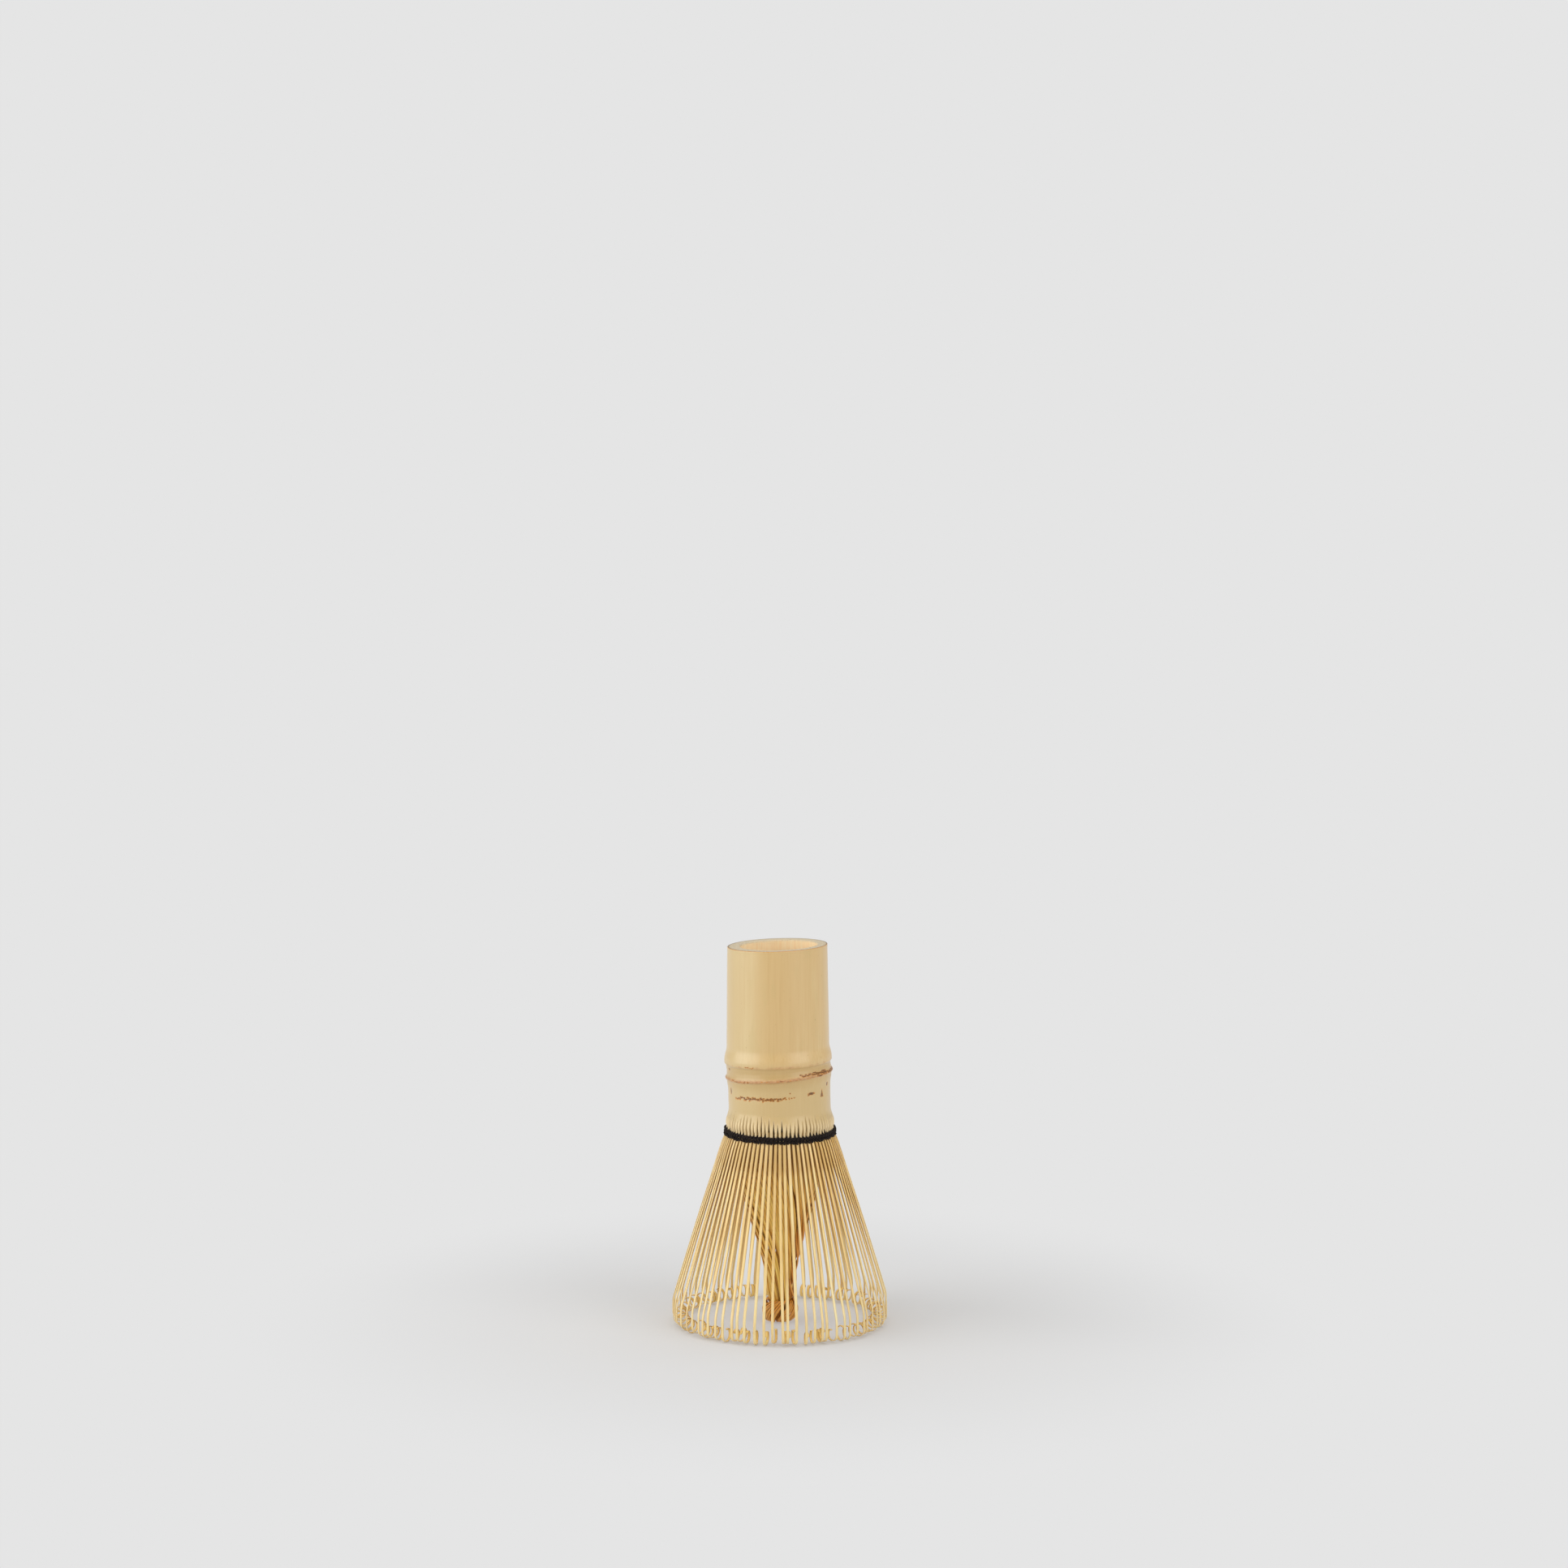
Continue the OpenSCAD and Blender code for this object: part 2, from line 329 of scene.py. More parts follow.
def culm_material():
    """Natural bamboo skin: faint fibre streaks, a duller node with painted shade below its scar, brown scars,
    slits painted dark as shade, and a painted reflection of the left light on the left side.
    """
    n = Nodes("bamboo_culm")
    where, x, height = n.place()
    fine = n.noise(where, (2.0, 2.0, 0.04), 5, 0.6)
    broad = n.noise(where, (0.13, 0.13, 0.01), 3)
    tone = n.math("ADD", n.math("MULTIPLY", fine, 0.4), n.math("MULTIPLY", broad, 0.6))
    skin = n.ramp(tone, [(0.3, srgb(208, 170, 110)), (0.5, srgb(216, 182, 124)), (0.72, srgb(223, 195, 140))])
    # paler and greyer to the left as a painted reflection of the left light; clouded all over, duller from
    # the node down, and freckled
    skin = n.blend(n.range(x, -14.0, 0.0, 0.5, 0.0), skin, srgb(206, 186, 136))
    clouds = n.noise(where, (0.3, 0.3, 0.09), 3)
    skin = n.blend(n.range(clouds, 0.5, 0.75, 0.0, 0.3), skin, srgb(203, 178, 118))
    below = n.math("SUBTRACT", 1.0, n.range(height, 68.0, 71.5))
    skin = n.blend(n.math("MULTIPLY", below, 0.6), skin, srgb(206, 179, 124))
    freckles = n.noise(where, (2.4, 2.4, 1.5), 2, 0.4)
    skin = n.blend(n.range(freckles, 0.76, 0.8, 0.0, 0.7), skin, srgb(140, 100, 52))
    # the node's band, darker in the groove and painted shade below the scar, and its pink scars
    scar_grain = n.noise(where, (1.3, 1.3, 2.8), 5, 0.65)
    band = n.mark("band")
    skin = n.blend(n.math("MULTIPLY", band, 0.55), skin, srgb(192, 158, 98))
    scar = n.mark("scar")
    pink = n.ramp(scar_grain, [(0.36, srgb(150, 92, 50)), (0.5, srgb(190, 134, 84)),
                               (0.64, srgb(205, 160, 112))])
    skin = n.blend(scar, skin, pink)
    # root marks, orange at their edges and broken up by the grain
    stain = n.mark("stain")
    brown = n.ramp(scar_grain, [(0.36, srgb(80, 46, 0)), (0.62, srgb(152, 96, 16))])
    brown = n.blend(n.range(stain, 0.45, 0.95), srgb(208, 130, 32), brown)
    broken = n.range(n.noise(where, (3.1, 3.1, 4.2), 3, 0.6), 0.38, 0.54, 0.3, 1.0)
    skin = n.blend(n.range(n.math("MULTIPLY", stain, broken), 0.05, 0.5), skin, brown)
    # pale peeled wood between the slits, and painted shade in the slits, which follows their depth
    skin = n.blend(n.mark("peel"), skin, srgb(238, 212, 162))
    skin = n.blend(n.mark("cut"), skin, srgb(56, 36, 18))
    n.bump(n.math("ADD", fine, n.math("MULTIPLY", scar_grain, scar)), 0.05, 0.4)
    rough = n.math("ADD", n.range(fine, 0.3, 0.7, 0.3, 0.4), n.math("MULTIPLY", scar, 0.25))
    return n.finish(skin, rough, Coat_Weight=0.4, Coat_Roughness=0.3)


def pith_material():
    """The culm's inner wall and sawn rim: pale, matt and fibrous, with dense brown fibres at the skin."""
    n = Nodes("bamboo_pith")
    where = n.place()[0]
    fine = n.noise(where, (1.6, 1.6, 0.1), 4, 0.6)
    wall = n.ramp(fine, [(0.3, srgb(250, 219, 172)), (0.55, srgb(254, 232, 190)),
                         (0.75, srgb(255, 240, 208))])
    pores = n.noise(where, (2.6, 2.6, 0.6), 3, 0.5)
    sawn = n.ramp(pores, [(0.34, srgb(176, 160, 130)), (0.48, srgb(196, 181, 152)),
                          (0.7, srgb(210, 196, 170))])
    colour = n.blend(n.mark("cut"), wall, sawn)
    colour = n.blend(n.mark("stain"), colour, srgb(104, 84, 60))
    n.bump(pores, 0.05, 0.4)
    return n.finish(colour, 0.7)


def tine_material(name, stops, skin, skin_light, skin_span, tip, side, low_side, pale):
    """Shaved bamboo, with long fibres and each tine in its own tone.

    Near the thread the tine takes skin or skin_light, ending over skin_span, in millimetres from the
    tine's start: on outer tines this is the skin left on them, on inner tines painted shade. Lower down
    the tine turns paler by pale. Split sides are darkened to side as painted shade between the tines,
    fading to low_side of it lower down but strong again on the curls, and curled tips turn to tip.
    """
    n = Nodes(name)
    fibre = n.mark("fibre", "Vector")
    split = n.add("ShaderNodeSeparateXYZ")
    n.plug(fibre, split.inputs[0])
    along = split.outputs[1]
    grain = n.noise(fibre, (3.2, 0.14, 7.3), 4, 0.6)
    patchy = n.noise(fibre, (0.2, 0.08, 3.1), 3, 0.5)
    own_tone = n.noise(fibre, (0.0, 0.0, 5.7), 1)
    tone = n.math("ADD", n.math("MULTIPLY", grain, 0.3), n.math("MULTIPLY", patchy, 0.3))
    tone = n.math("ADD", tone, n.math("MULTIPLY", own_tone, 0.4))
    colour = n.ramp(tone, stops)
    # near the thread: the skin left on the outer tines, and painted shade on the inner tines
    edge = n.math("ADD", along, n.math("MULTIPLY", patchy, 3.0))
    near_thread = n.range(edge, skin_span[0], skin_span[1], 0.8, 0.0)
    colour = n.blend(near_thread, colour, n.blend(n.range(own_tone, 0.46, 0.66), skin, skin_light))
    colour = n.blend(n.range(along, 34.0, 50.0, 0.0, pale), colour, srgb(252, 234, 192))
    # the upper tines on the right are a little more golden
    _, x, height = n.place()
    warm = n.math("MULTIPLY", n.range(x, 2.0, 15.0), n.range(height, 18.0, 38.0))
    colour = n.blend(warm, colour, (1.0, 0.92, 0.72, 1.0), "MULTIPLY")
    curled = n.mark("tip")
    colour = n.blend(curled, colour, tip)
    # painted shade on the split sides between the tines, deepest near the thread and on the curls
    side_shade = n.math("MAXIMUM", n.range(along, 14.0, 44.0, 0.85, low_side), n.math("MULTIPLY", curled, 0.9))
    side_shade = n.math("MULTIPLY", n.mark("side"), side_shade)
    colour = n.blend(side_shade, colour, side)
    n.bump(grain, 0.03, 0.5)
    return n.finish(colour, 0.35, Subsurface_Weight=0.3, Subsurface_Scale=0.6 * MM,
                    Subsurface_Radius=(1.0, 0.8, 0.6))


def thread_material():
    """Black twisted cotton with a faint fuzz of lighter fibres."""
    n = Nodes("thread")
    fibre = n.mark("fibre", "Vector")
    fuzz = n.noise(fibre, (7.0, 3.0, 5.0), 4, 0.7)
    colour = n.ramp(fuzz, [(0.4, srgb(20, 11, 7)), (0.6, srgb(34, 22, 16)), (0.8, srgb(62, 46, 36))])
    n.bump(fuzz, 0.06, 0.8)
    return n.finish(colour, 0.9, Sheen_Weight=0.06, Specular_IOR_Level=0.25)


CULM = culm_material()
PITH = pith_material()
# side is painted shade between the tines
OUTER = tine_material(
    "bamboo_outer_tines",
    stops=[(0.36, srgb(217, 176, 104)), (0.5, srgb(240, 209, 142)), (0.64, srgb(249, 230, 176))],
    skin=srgb(210, 174, 106), skin_light=srgb(245, 213, 154), skin_span=(11.6, 14.6),
    tip=srgb(253, 208, 110), side=srgb(142, 96, 40), low_side=0.2, pale=0.22)
# the inner tines' skin colours near the thread, and their side colour, are painted shade
INNER = tine_material(
    "bamboo_inner_tines",
    stops=[(0.36, srgb(206, 142, 46)), (0.5, srgb(250, 200, 94)), (0.64, srgb(255, 226, 132))],
    skin=srgb(98, 58, 16), skin_light=srgb(138, 88, 28), skin_span=(3.0, 19.0),
    tip=srgb(219, 136, 44), side=srgb(156, 98, 30), low_side=0.4, pale=0.0)
THREAD = thread_material()


# ---- Culm ----

RIM_R = 14.0                # outer radius at the rim
NECK_R = 14.35              # above the node
WAIST_R = 14.3              # at its narrowest below the node
THREAD_SEAT_R = 14.95       # under the thread
RIM_TILT = math.radians(1.8)
RIDGE_TILT = math.tan(math.radians(2.1))
SCAR_TILT = math.tan(math.radians(4.4))
LIP_Z, SCAR_Z = 74.1, 70.6  # lower lip of the upper ridge, and the sheath scar
BUD_Z = 65.5                # row of root buds
TAPER_Z = 80                # above here the culm only narrows to its rim
SLIT_TOP_Z = 59.5
SLIT_POINT = 3.4            # length of a slit's pointed top
SLIT_HALF, SLIT_HALF_MIN = 0.29, 0.012
SLIT_DEPTH = 1.7
CULM_LOW_Z = 54.0           # hidden behind the thread
SLIT_STEPS = (-1, -0.86, 0, 0.86, 1)
LAND_STEPS = 4
LAND_CROWN = 0.14
WALL_COLUMNS = 200
BORE_ROOM, BORE_SHIFT = 0.35, 0.5    # the natural hollow is wider than the bore, and off centre
SEPTUM_DISH = 0.9
CULM_SEED, SCAR_SEED, MARK_SEED, SLIT_SEED, BORE_SEED, SEPTUM_SEED = 7, 4, 31, 16, 3, 12

# How far each slit leans off its place, and how high it reaches; a few reach higher
slit_rng = random.Random(SLIT_SEED)
slit_leans = [slit_rng.gauss(0, 0.06) * PITCH for _ in range(TINES)]
slit_tops = [SLIT_TOP_Z + slit_rng.uniform(-0.9, 0.9) + (slit_rng.random() < 0.12) * slit_rng.uniform(0.5, 2)
             for _ in range(TINES)]

# Steps of the outer radius, going down, as (change, height where it starts, length): those that
# follow the tilt of the ridge, those that follow the tilt of the scar, and the level ones
RIDGE_STEPS = ((0.72, 78.7, 3.8), (-0.38, LIP_Z + 0.15, 0.7))
SCAR_STEPS = ((-0.47, SCAR_Z + 0.3, 4.2), (0.24, SCAR_Z + 1.2, 1.2), (-0.16, SCAR_Z - 0.3, 0.35))
LEVEL_STEPS = ((WAIST_R - NECK_R + 0.05, 67, 5), (THREAD_SEAT_R + 0.12 - WAIST_R, 61, 4), (-0.17, 56.4, 0.5))

# Rows of the culm's mesh as (low, high, count), closest together where its marks are
CULM_ROWS = ((CULM_LOW_Z, 61.4, 25), (61.8, 64.8, 6), (64.9, 68.2, 29), (68.3, 76.2, 65), (76.4, 79.6, 9),
             (80.2, 103.5, 14))
# Rings up to the sawn rim as (share of the way up, drop, inset, darkness of the fibre ends)
RIM_RINGS = ((0.5, 0.0, 0.0, 0.0), (1.0, 0.3, 0.0, 0.0), (1.0, 0.16, 0.0, 0.1), (1.0, 0.07, 0.02, 0.4),
             (1.0, 0.0, 0.1, 0.6))
# Rings across the sawn face as (share of the way inwards, darkness of the fibre ends)
SAWN_RINGS = ((0.0, 0.9), (0.06, 0.6), (0.13, 0.2), (0.2, 0.04), (0.5, 0.0), (0.9, 0.0), (0.96, 0.0))


def axis_x(z):
    """Sideways offset of the culm's axis: none at the thread, full above the node."""
    return CULM_X * (0.35 * ease((z - 57) / 9) + 0.65 * ease((z - 69) / 7)) - 0.15 * ease((z - 78) / 28)


def steps_down(z, steps):
    """Total change of the radius at height z."""
    return sum(change * ease((start - z) / length) for change, start, length in steps)


def culm_profile(z, angle, rng):
    """Outer radius at height z and angle before the slits, and z measured along each tilted ridge."""
    x = THREAD_SEAT_R * np.sin(angle)
    zu = z - RIDGE_TILT * x
    zs = z - SCAR_TILT * x + 0.12 * waves(angle, rng, (TAU / 3, TAU / 7, TAU / 19), 1)
    r = mix(NECK_R, RIM_R, np.clip((z - TAPER_Z) / (RIM_Z - TAPER_Z), 0, 1))
    r = r + steps_down(zu, RIDGE_STEPS) + steps_down(zs, SCAR_STEPS) + steps_down(z, LEVEL_STEPS)
    r = r - 0.1 * bump(zs, SCAR_Z + 2.1, 0.7) + 0.2 * bump(zs, SCAR_Z, 0.4)
    oval = 0.05 * np.cos(2 * angle + 0.7) + waves(angle, rng, (TAU / 5, TAU / 9), 0.03)
    fibres = waves(angle * 15, rng, (0.9, 1.7, 2.9), 0.006)
    return r + oval + fibres, zu, zs


def slit_shape(slit, z):
    """Middle angle, half angle and depth of a slit at height z; above its top it only spaces the mesh."""
    below = slit_tops[slit % TINES] - z
    half = max(SLIT_HALF * min(below / SLIT_POINT, 1), SLIT_HALF_MIN) / THREAD_SEAT_R
    half = mix(half, PITCH / 4, float(ease((-below - 0.3) / 2.5)))
    depth = SLIT_DEPTH * float(ease(below / 0.5))
    return (slit + 0.5) * PITCH + slit_leans[slit % TINES], half, depth


def culm_columns(z):
    """Angles across one row of the culm, with the depth of the slits at each; lands stand a little proud."""
    crown = -LAND_CROWN * float(ease((SLIT_TOP_Z - z) / 2.5))
    angles, depths = [], []
    for slit in range(TINES):
        middle, half, depth = slit_shape(slit, z)
        for step in SLIT_STEPS:
            angles.append(middle + step * half)
            depths.append(depth if abs(step) < 1 else 0.0)
        next_middle, next_half, _ = slit_shape(slit + 1, z)
        for k in range(1, LAND_STEPS):
            angles.append(mix(middle + half, next_middle - next_half, k / LAND_STEPS))
            depths.append(crown * math.sin(math.pi * k / LAND_STEPS))
    return np.array(angles), np.array(depths)


def speck(angle, z, at_angle, at_z, wide, tall):
    """A spot on the culm of the given half sizes in millimetres, 1 inside and fading to 0 outside."""
    across = nearest(angle - at_angle) * THREAD_SEAT_R / wide
    return np.clip(2.6 - 2.0 * np.sqrt(across ** 2 + ((z - at_z) / tall) ** 2), 0, 1)


def thorn(angle, z, at_angle, low, tall, wide):
    """A pointed mark, widest at its foot."""
    across = np.abs(nearest(angle - at_angle)) * THREAD_SEAT_R
    up = (z - low) / tall
    return np.clip((wide * (1 - up) - across) / 0.3 + 0.4, 0, 1) * ease(up / 0.08)


# Stray marks as (degrees round from the front, height, half width, half height)
STRAY_MARKS = ((-69, 72.4, 0.45, 0.4), (-69, 66.3, 0.4, 0.95), (38.5, 66.6, 1.25, 0.36),
               (34.5, 66.2, 0.4, 0.14), (12, 67.1, 0.22, 0.2), (68, 68.4, 0.45, 0.55),
               (-34, 99.2, 0.1, 0.28), (4, 95.5, 0.08, 0.3), (43, 80.6, 0.09, 0.22),
               (150, 90, 0.1, 0.5), (-120, 84, 0.12, 0.3))


def culm_marks(angle, z, zu, zs):
    """Bands of the node, darker in the groove and painted shade below the scar, and brown root scars, as
    (band, scar, stain).
    """
    rng = random.Random(MARK_SEED)
    band = ease((LIP_Z + 0.1 - zu) / 0.5) * ease((zs - SCAR_Z - 0.2) / 0.8)
    # below the scar the band is painted shade
    band = np.maximum(band, 0.75 * ease((SCAR_Z - 0.3 - zs) / 0.5) * ease((zs - SCAR_Z + 3.4) / 2.6))
    patch = 0.5 + 0.5 * waves(angle, random.Random(SCAR_SEED), (TAU / 3, TAU / 8, TAU / 17, TAU / 31), 1.6)
    scar = bump(zs, SCAR_Z + 0.05, 0.46) * (0.7 + 0.3 * np.clip(patch, 0, 1))
    scar = scar + bump(zu, LIP_Z + 0.2, 0.3) * np.clip(patch - 0.25, 0.08, 0.6)
    stain = np.zeros_like(z)
    row = z - 0.55 * nearest(angle)              # the row of buds rises a little to the right

    def spots(count, degrees, level, low, high, small, big, stretch, strength=1.0):
        """count spots spread over a range of degrees and of level, small to big and stretched sideways."""
        nonlocal stain
        for k in range(count):
            at = math.radians(mix(degrees[0], degrees[1], (k + rng.random()) / count))
            size = rng.uniform(small, big)
            spot = speck(angle, level, at, rng.uniform(low, high), size * stretch, size)
            stain = np.maximum(stain, strength * spot)

    # the row of root buds in front, and those round the back
    spots(56, (-57, 7), row, BUD_Z - 0.4, BUD_Z + 0.4, 0.17, 0.3, 1.4, 0.84)
    spots(24, (-55, 4), row, BUD_Z - 0.2, BUD_Z + 0.25, 0.15, 0.22, 1.5)
    spots(5, (7, 17), row, BUD_Z - 0.3, BUD_Z + 0.3, 0.16, 0.22, 1.2, 0.85)
    # heavy flecks on the right of the scar, and fine ones along the rest of it
    spots(30, (24, 62), zs, SCAR_Z + 0.5, SCAR_Z + 1.1, 0.12, 0.24, 2.2)
    spots(34, (44, 92), zs, SCAR_Z - 0.1, SCAR_Z + 0.6, 0.14, 0.3, 2.0)
    spots(16, (-62, -34), zs, SCAR_Z - 0.45, SCAR_Z + 0.25, 0.09, 0.16, 2.4, 0.9)
    spots(60, (-34, 360 - 62), zs, SCAR_Z - 0.35, SCAR_Z + 0.25, 0.07, 0.13, 2.4, 0.6)
    # specks under the lip of the ridge
    spots(9, (-38, -26), zu, LIP_Z - 0.02, LIP_Z + 0.3, 0.09, 0.15, 1.9, 0.85)
    spots(14, (90, 320), zu, LIP_Z, LIP_Z + 0.25, 0.07, 0.12, 2.0, 0.6)
    spots(48, (100, 285), z, BUD_Z + 0.1, BUD_Z + 0.8, 0.1, 0.19, 1.5, 0.8)
    for degrees, at_z, wide, tall in STRAY_MARKS:
        stain = np.maximum(stain, speck(angle, z, math.radians(degrees), at_z, wide, tall))
    stain = np.maximum(stain, thorn(angle, z, math.radians(56), 65.1, 2.5, 0.85))
    return band, np.clip(scar, 0, 1), np.clip(stain, 0, 1)


def rim_height(x):
    """Height of the sawn rim over x; it is cut a little off square."""
    return RIM_Z - (RIM_R + CULM_X - x) * math.tan(RIM_TILT)


def rim_radius(angle):
    return culm_profile(np.full_like(angle, RIM_Z), angle, random.Random(CULM_SEED))[0]


def build_culm():
    """The skin of the culm, from behind the thread to the edge of the sawn rim."""
    rows = np.concatenate([np.linspace(*row) for row in CULM_ROWS])
    points, marks = [], {"band": [], "scar": [], "stain": [], "cut": [], "peel": []}
    for z in rows:
        angle, depth = culm_columns(z)
        level = np.full_like(angle, z)
        r, zu, zs = culm_profile(level, angle, random.Random(CULM_SEED))
        band, scar, stain = culm_marks(angle, level, zu, zs)
        r = r - depth - 0.06 * stain
        points.append(round_axis(r, angle, level, axis_x(level)))
        # cut follows the depth of the slits and paints shade in them
        cut = np.clip(depth / 0.3, 0, 1)
        peel = (1 - cut) * 0.75 * ease((SLIT_TOP_Z - 0.2 - level) / 2.5)
        for key, value in zip(marks, (band, scar, stain, cut, peel)):
            marks[key].append(value)
    top_r = rim_radius(angle)
    for u, drop, inset, dark in RIM_RINGS:
        r = top_r - inset
        x = axis_x(RIM_Z) + r * np.sin(angle)
        z = mix(rows[-1], rim_height(x), u) - drop
        points.append(np.stack([x, -r * np.cos(angle), z], -1))
        for key in marks:
            marks[key].append(np.full(len(angle), dark if key == "stain" else 0.0))
    culm = make_piece("culm", np.vstack(points), wrapped_grid(len(points), len(angle)), CULM,
                      {key: np.concatenate(value) for key, value in marks.items()})
    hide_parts("handle")
    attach(culm, "root")


def build_culm_wall():
    """The sawn rim and the hollows above and below the node, as one inner skin."""
    angle = np.arange(WALL_COLUMNS) * TAU / WALL_COLUMNS
    outer_r = rim_radius(angle) - RIM_RINGS[-1][2]
    hollow = waves(angle, random.Random(BORE_SEED), (TAU / 3, TAU / 8), 0.12)
    inner_r = BORE_R + BORE_ROOM + BORE_SHIFT * np.cos(angle - 0.9) + hollow
    points, cut, stain = [], [], []

    def ring(r, z, sawn=0.0, dark=0.0):
        """One ring at height z, or where z isn't above 0, that far under the sawn rim."""
        across = (axis_x(RIM_Z) if z <= 0 else axis_x(z)) + r * np.sin(angle)
        level = rim_height(across) + z if z <= 0 else np.full(WALL_COLUMNS, z)
        points.append(np.stack([across, -r * np.cos(angle), level], -1))
        cut.append(np.full(WALL_COLUMNS, sawn))
        stain.append(np.full(WALL_COLUMNS, dark))

    for u, dark in SAWN_RINGS:
        ring(mix(outer_r, inner_r, u), 0.0, 1.0, dark)
    ring(inner_r, -0.15, 0.6)
    ring(inner_r + 0.02, -0.6)
    for z in np.linspace(RIM_Z - 2.5, SEPTUM_TOP + 1.5, 14):
        ring(inner_r + 0.06 * math.sin(z / 3.1), z)
    # in over the septum and out again under it
    ring(inner_r - 0.8, SEPTUM_TOP + 0.3)
    ring(inner_r - 1.6, SEPTUM_TOP - 0.2)
    ring(inner_r - 1.6, SEPTUM_LOW + 0.2)
    ring(inner_r - 0.4, SEPTUM_LOW - 0.6)
    for z in np.linspace(SEPTUM_LOW - 2, CULM_LOW_Z + 1, 8):
        ring(mix(11.6, inner_r, ease((z - 60) / 8)), z)
    # out to the bottoms of the slits, behind the thread
    ring(np.full(WALL_COLUMNS, 11.7), CULM_LOW_Z - 0.2)
    ring(np.full(WALL_COLUMNS, 12.9), CULM_LOW_Z - 0.35, dark=0.3)
    ring(np.full(WALL_COLUMNS, THREAD_SEAT_R - SLIT_DEPTH - 0.1), CULM_LOW_Z - 0.1, dark=0.3)
    wall = make_piece("culm_wall", np.vstack(points), wrapped_grid(len(points), WALL_COLUMNS), PITH,
                      {"cut": np.concatenate(cut), "stain": np.concatenate(stain)})
    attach(wall, "root")


def build_septum():
    """The natural wall across the culm: a shallow dish with rings of wrinkles."""
    columns, rings = 96, 26
    angle = np.arange(columns) * TAU / columns
    rng = random.Random(SEPTUM_SEED)
    around, outward = rng.uniform(0, TAU), rng.uniform(0, TAU)
    points = []
    for side in (1, -1):
        for k in range(rings):
            r = (BORE_R - 0.5) * (1 - k / (rings - 1)) + 0.02
            dish = SEPTUM_DISH * (1 - (r / BORE_R) ** 2)
            wrinkle = 0.06 * math.sin(r * 3.1)
            wrinkle = wrinkle + 0.05 * np.sin(3 * angle + around) * math.sin(r * 1.7 + outward)
            level = SEPTUM_TOP - 0.2 - dish if side > 0 else SEPTUM_LOW + 0.6 - dish
            points.append(round_axis(r, angle, level + wrinkle, axis_x(SEPTUM_TOP)))
    stacked = np.vstack(points[:rings] + points[rings:][::-1])
    marks = {"cut": np.full(len(stacked), 0.25), "stain": np.zeros(len(stacked))}
    septum = make_piece("septum", stacked, wrapped_grid(2 * rings, columns), PITH, marks)
    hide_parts("node_septum")
    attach(septum, "root")


# ---- Outer tines ----

ROOT_R = 15.25              # middle of a tine just under the thread
FLARE_TOP, FLARE_LOW = 18.6, 16.2    # lean under the thread and above the bend, in degrees
BEND_R, UPRIGHT = 9.0, 3.1
CURL_R, CURL_TURN = 2.05, 330        # radius where the curl starts, and degrees turned
TIP_T = 0.22
BOW_STEPS, BEND_STEPS, UP_STEPS, CURL_STEPS = 18, 6, 3, 30
CURL_TWISTS = (2, 4, 7, 11)          # degrees; most curls stay nearly flat
OUTER_SEED = 87
# The stretch behind the thread, as (radius, height, lean in radians)
TINE_LEAD = np.array([(14.15, 56.3, 0.1), (14.25, 55.4, 0.15), (14.4, 54.5, 0.3), (14.7, 54.0, 0.65),
                      (14.98, 53.65, 0.7)])


def tine_line(rng, ring_r, curl_r, curl_turn, shrink):
    """Side view of an outer tine as rows (radius, height, lean), and the row where its bend starts."""
    upright = UPRIGHT * rng.uniform(0.7, 1.2)
    # the bend, the upright stretch and the curl as (length, lean in degrees) pieces
    tail = [(BEND_R * math.radians(FLARE_LOW) / BEND_STEPS, FLARE_LOW * (1 - (i + 0.5) / BEND_STEPS))
            for i in range(BEND_STEPS)]
    tail += [(upright / UP_STEPS, 0.0)] * UP_STEPS
    for i in range(CURL_STEPS):
        u = (i + 0.5) / CURL_STEPS
        tail.append((curl_r * mix(1, shrink, u) * math.radians(curl_turn) / CURL_STEPS, -curl_turn * u))
    lengths, leans = (np.array(v) for v in zip(*tail))
    leans = np.radians(leans)
    tail_r, tail_z = np.cumsum(lengths * np.sin(leans)), -np.cumsum(lengths * np.cos(leans))
    drop = TINE_TOP + tail_z.min() - TIP_T / 2 - rng.uniform(0.02, 0.7)
    bow = np.radians([mix(FLARE_TOP, FLARE_LOW, (i + 0.5) / BOW_STEPS) for i in range(BOW_STEPS)])
    fix = 0.0
    for _ in range(4):                           # lean the bow until the ring is as wide as asked
        step = drop / np.cos(bow + fix).sum()
        reach = ROOT_R + step * np.sin(bow + fix).sum() + tail_r.max() + TIP_T / 2
        fix += (ring_r - reach) / drop
    lengths = np.r_[np.full(BOW_STEPS, step), lengths]
    leans = np.r_[bow + fix, leans]
    r = ROOT_R + np.r_[0, np.cumsum(lengths * np.sin(leans))]
    z = TINE_TOP - np.r_[0, np.cumsum(lengths * np.cos(leans))]
    lean = np.r_[leans[0], (leans[1:] + leans[:-1]) / 2, leans[-1]]
    rows = np.vstack([TINE_LEAD, np.stack([r, z, lean], -1)])
    return rows, len(TINE_LEAD) + BOW_STEPS


def curl_drift(rng, place, way):
    """Sideways shift of a curl's end, mostly way, its section's side; none leaves the section."""
    if place * way == 2:
        return -way * rng.uniform(0.3, 0.75)
    if place * way == 1:
        return way * rng.uniform(0.35, 0.85)
    return way * rng.uniform(0.45, 1.2)


